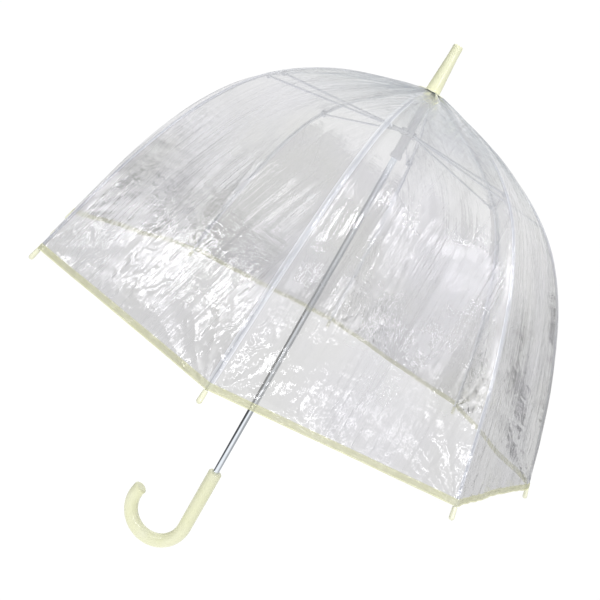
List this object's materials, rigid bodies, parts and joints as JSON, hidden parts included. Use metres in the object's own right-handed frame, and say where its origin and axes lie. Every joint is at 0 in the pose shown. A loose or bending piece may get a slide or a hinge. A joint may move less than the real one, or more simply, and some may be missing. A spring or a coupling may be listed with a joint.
{
  "type": "stick umbrella",
  "caption": "Clear dome umbrella on a straight shaft with a hook handle, pale edge binding and rib tips, and a sliding runner that folds the canopy.",
  "frame": {"origin": "on the shaft's axis at the top face of the hook handle", "axes": "+Z along the shaft towards the ferrule, -X towards the hook's open end"},
  "size_m": [0.81, 0.81, 0.8818],
  "materials": {
    "grip": "glossy pale yellow",
    "tips": "glossy pale yellow",
    "tube": "polished",
    "rib": "bright drawn wire",
    "spring": "spring steel",
    "white": "milky white moulding",
    "film": "clear creased film with a pale yellow edge binding"
  },
  "bodies": {
    "frame": {"shaft": "tube", "handle": "grip", "ferrule": "grip", "rosette": "tips", "top_notch": "white", "notch_wire": "spring", "top_catch": "spring", "bottom_catch": "spring"},
    "runner": {"runner": "white", "runner_wire": "spring"},
    "rib_1_inner_part": {"rib_1_inner": "rib", "canopy_1_upper": "film"},
    "rib_1_outer_part": {"rib_1_outer": "rib", "tip_1": "tips", "canopy_1_lower": "film"},
    "stretcher_1_part": {"stretcher_1": "rib"},
    "rib_2_inner_part": {"rib_2_inner": "rib", "canopy_2_upper": "film"},
    "rib_2_outer_part": {"rib_2_outer": "rib", "tip_2": "tips", "canopy_2_lower": "film"},
    "stretcher_2_part": {"stretcher_2": "rib"},
    "rib_3_inner_part": {"rib_3_inner": "rib", "canopy_3_upper": "film"},
    "rib_3_outer_part": {"rib_3_outer": "rib", "tip_3": "tips", "canopy_3_lower": "film"},
    "stretcher_3_part": {"stretcher_3": "rib"},
    "rib_4_inner_part": {"rib_4_inner": "rib", "canopy_4_upper": "film"},
    "rib_4_outer_part": {"rib_4_outer": "rib", "tip_4": "tips", "canopy_4_lower": "film"},
    "stretcher_4_part": {"stretcher_4": "rib"},
    "rib_5_inner_part": {"rib_5_inner": "rib", "canopy_5_upper": "film"},
    "rib_5_outer_part": {"rib_5_outer": "rib", "tip_5": "tips", "canopy_5_lower": "film"},
    "stretcher_5_part": {"stretcher_5": "rib"},
    "rib_6_inner_part": {"rib_6_inner": "rib", "canopy_6_upper": "film"},
    "rib_6_outer_part": {"rib_6_outer": "rib", "tip_6": "tips", "canopy_6_lower": "film"},
    "stretcher_6_part": {"stretcher_6": "rib"},
    "rib_7_inner_part": {"rib_7_inner": "rib", "canopy_7_upper": "film"},
    "rib_7_outer_part": {"rib_7_outer": "rib", "tip_7": "tips", "canopy_7_lower": "film"},
    "stretcher_7_part": {"stretcher_7": "rib"},
    "rib_8_inner_part": {"rib_8_inner": "rib", "canopy_8_upper": "film"},
    "rib_8_outer_part": {"rib_8_outer": "rib", "tip_8": "tips", "canopy_8_lower": "film"},
    "stretcher_8_part": {"stretcher_8": "rib"}
  },
  "joints": [
    {"name": "runner_slide", "type": "slide", "parent": "frame", "child": "runner", "axis": [0, 0, -1], "range_m": [0, 0.37698], "deforming": ["top_catch", "bottom_catch", "canopy_1_upper", "canopy_2_upper", "canopy_3_upper", "canopy_4_upper", "canopy_5_upper", "canopy_6_upper", "canopy_7_upper", "canopy_8_upper", "canopy_1_lower", "canopy_2_lower", "canopy_3_lower", "canopy_4_lower", "canopy_5_lower", "canopy_6_lower", "canopy_7_lower", "canopy_8_lower"]},
    {"name": "rib_1_hinge", "type": "hinge", "parent": "frame", "child": "rib_1_inner_part", "pos_m": [0.0095, 0, 0.6426], "axis": [0, 1, 0], "range_deg": [0, 60.69]},
    {"name": "rib_1_joint", "type": "hinge", "parent": "rib_1_inner_part", "child": "rib_1_outer_part", "pos_m": [0.22167, 0, 0.55825], "axis": [0, 1, 0], "range_deg": [-36.06, 0]},
    {"name": "stretcher_1_hinge", "type": "hinge", "parent": "runner", "child": "stretcher_1_part", "pos_m": [0.0095, 0, 0.582], "axis": [0, 1, 0], "range_deg": [-88.22, 0]},
    {"name": "rib_2_hinge", "type": "hinge", "parent": "frame", "child": "rib_2_inner_part", "pos_m": [0.00672, 0.00672, 0.6426], "axis": [-0.7071, 0.7071, 0], "range_deg": [0, 60.69]},
    {"name": "rib_2_joint", "type": "hinge", "parent": "rib_2_inner_part", "child": "rib_2_outer_part", "pos_m": [0.15675, 0.15675, 0.55825], "axis": [-0.7071, 0.7071, 0], "range_deg": [-36.06, 0]},
    {"name": "stretcher_2_hinge", "type": "hinge", "parent": "runner", "child": "stretcher_2_part", "pos_m": [0.00672, 0.00672, 0.582], "axis": [-0.7071, 0.7071, 0], "range_deg": [-88.22, 0]},
    {"name": "rib_3_hinge", "type": "hinge", "parent": "frame", "child": "rib_3_inner_part", "pos_m": [0, 0.0095, 0.6426], "axis": [-1, 0, 0], "range_deg": [0, 60.69]},
    {"name": "rib_3_joint", "type": "hinge", "parent": "rib_3_inner_part", "child": "rib_3_outer_part", "pos_m": [0, 0.22167, 0.55825], "axis": [-1, 0, 0], "range_deg": [-36.06, 0]},
    {"name": "stretcher_3_hinge", "type": "hinge", "parent": "runner", "child": "stretcher_3_part", "pos_m": [0, 0.0095, 0.582], "axis": [-1, 0, 0], "range_deg": [-88.22, 0]},
    {"name": "rib_4_hinge", "type": "hinge", "parent": "frame", "child": "rib_4_inner_part", "pos_m": [-0.00672, 0.00672, 0.6426], "axis": [-0.7071, -0.7071, 0], "range_deg": [0, 60.69]},
    {"name": "rib_4_joint", "type": "hinge", "parent": "rib_4_inner_part", "child": "rib_4_outer_part", "pos_m": [-0.15675, 0.15675, 0.55825], "axis": [-0.7071, -0.7071, 0], "range_deg": [-36.06, 0]},
    {"name": "stretcher_4_hinge", "type": "hinge", "parent": "runner", "child": "stretcher_4_part", "pos_m": [-0.00672, 0.00672, 0.582], "axis": [-0.7071, -0.7071, 0], "range_deg": [-88.22, 0]},
    {"name": "rib_5_hinge", "type": "hinge", "parent": "frame", "child": "rib_5_inner_part", "pos_m": [-0.0095, 0, 0.6426], "axis": [0, -1, 0], "range_deg": [0, 60.69]},
    {"name": "rib_5_joint", "type": "hinge", "parent": "rib_5_inner_part", "child": "rib_5_outer_part", "pos_m": [-0.22167, 0, 0.55825], "axis": [0, -1, 0], "range_deg": [-36.06, 0]},
    {"name": "stretcher_5_hinge", "type": "hinge", "parent": "runner", "child": "stretcher_5_part", "pos_m": [-0.0095, 0, 0.582], "axis": [0, -1, 0], "range_deg": [-88.22, 0]},
    {"name": "rib_6_hinge", "type": "hinge", "parent": "frame", "child": "rib_6_inner_part", "pos_m": [-0.00672, -0.00672, 0.6426], "axis": [0.7071, -0.7071, 0], "range_deg": [0, 60.69]},
    {"name": "rib_6_joint", "type": "hinge", "parent": "rib_6_inner_part", "child": "rib_6_outer_part", "pos_m": [-0.15675, -0.15675, 0.55825], "axis": [0.7071, -0.7071, 0], "range_deg": [-36.06, 0]},
    {"name": "stretcher_6_hinge", "type": "hinge", "parent": "runner", "child": "stretcher_6_part", "pos_m": [-0.00672, -0.00672, 0.582], "axis": [0.7071, -0.7071, 0], "range_deg": [-88.22, 0]},
    {"name": "rib_7_hinge", "type": "hinge", "parent": "frame", "child": "rib_7_inner_part", "pos_m": [0, -0.0095, 0.6426], "axis": [1, 0, 0], "range_deg": [0, 60.69]},
    {"name": "rib_7_joint", "type": "hinge", "parent": "rib_7_inner_part", "child": "rib_7_outer_part", "pos_m": [0, -0.22167, 0.55825], "axis": [1, 0, 0], "range_deg": [-36.06, 0]},
    {"name": "stretcher_7_hinge", "type": "hinge", "parent": "runner", "child": "stretcher_7_part", "pos_m": [0, -0.0095, 0.582], "axis": [1, 0, 0], "range_deg": [-88.22, 0]},
    {"name": "rib_8_hinge", "type": "hinge", "parent": "frame", "child": "rib_8_inner_part", "pos_m": [0.00672, -0.00672, 0.6426], "axis": [0.7071, 0.7071, 0], "range_deg": [0, 60.69]},
    {"name": "rib_8_joint", "type": "hinge", "parent": "rib_8_inner_part", "child": "rib_8_outer_part", "pos_m": [0.15675, -0.15675, 0.55825], "axis": [0.7071, 0.7071, 0], "range_deg": [-36.06, 0]},
    {"name": "stretcher_8_hinge", "type": "hinge", "parent": "runner", "child": "stretcher_8_part", "pos_m": [0.00672, -0.00672, 0.582], "axis": [0.7071, 0.7071, 0], "range_deg": [-88.22, 0]}
  ],
  "couplings": [
    {"joint": "rib_1_hinge", "follows": "runner_slide", "rad_per_m": 2.8077},
    {"joint": "rib_1_joint", "follows": "runner_slide", "rad_per_m": -1.6671},
    {"joint": "stretcher_1_hinge", "follows": "runner_slide", "rad_per_m": -4.0822},
    {"joint": "rib_2_hinge", "follows": "runner_slide", "rad_per_m": 2.8077},
    {"joint": "rib_2_joint", "follows": "runner_slide", "rad_per_m": -1.6671},
    {"joint": "stretcher_2_hinge", "follows": "runner_slide", "rad_per_m": -4.0822},
    {"joint": "rib_3_hinge", "follows": "runner_slide", "rad_per_m": 2.8077},
    {"joint": "rib_3_joint", "follows": "runner_slide", "rad_per_m": -1.6671},
    {"joint": "stretcher_3_hinge", "follows": "runner_slide", "rad_per_m": -4.0822},
    {"joint": "rib_4_hinge", "follows": "runner_slide", "rad_per_m": 2.8077},
    {"joint": "rib_4_joint", "follows": "runner_slide", "rad_per_m": -1.6671},
    {"joint": "stretcher_4_hinge", "follows": "runner_slide", "rad_per_m": -4.0822},
    {"joint": "rib_5_hinge", "follows": "runner_slide", "rad_per_m": 2.8077},
    {"joint": "rib_5_joint", "follows": "runner_slide", "rad_per_m": -1.6671},
    {"joint": "stretcher_5_hinge", "follows": "runner_slide", "rad_per_m": -4.0822},
    {"joint": "rib_6_hinge", "follows": "runner_slide", "rad_per_m": 2.8077},
    {"joint": "rib_6_joint", "follows": "runner_slide", "rad_per_m": -1.6671},
    {"joint": "stretcher_6_hinge", "follows": "runner_slide", "rad_per_m": -4.0822},
    {"joint": "rib_7_hinge", "follows": "runner_slide", "rad_per_m": 2.8077},
    {"joint": "rib_7_joint", "follows": "runner_slide", "rad_per_m": -1.6671},
    {"joint": "stretcher_7_hinge", "follows": "runner_slide", "rad_per_m": -4.0822},
    {"joint": "rib_8_hinge", "follows": "runner_slide", "rad_per_m": 2.8077},
    {"joint": "rib_8_joint", "follows": "runner_slide", "rad_per_m": -1.6671},
    {"joint": "stretcher_8_hinge", "follows": "runner_slide", "rad_per_m": -4.0822}
  ]
}
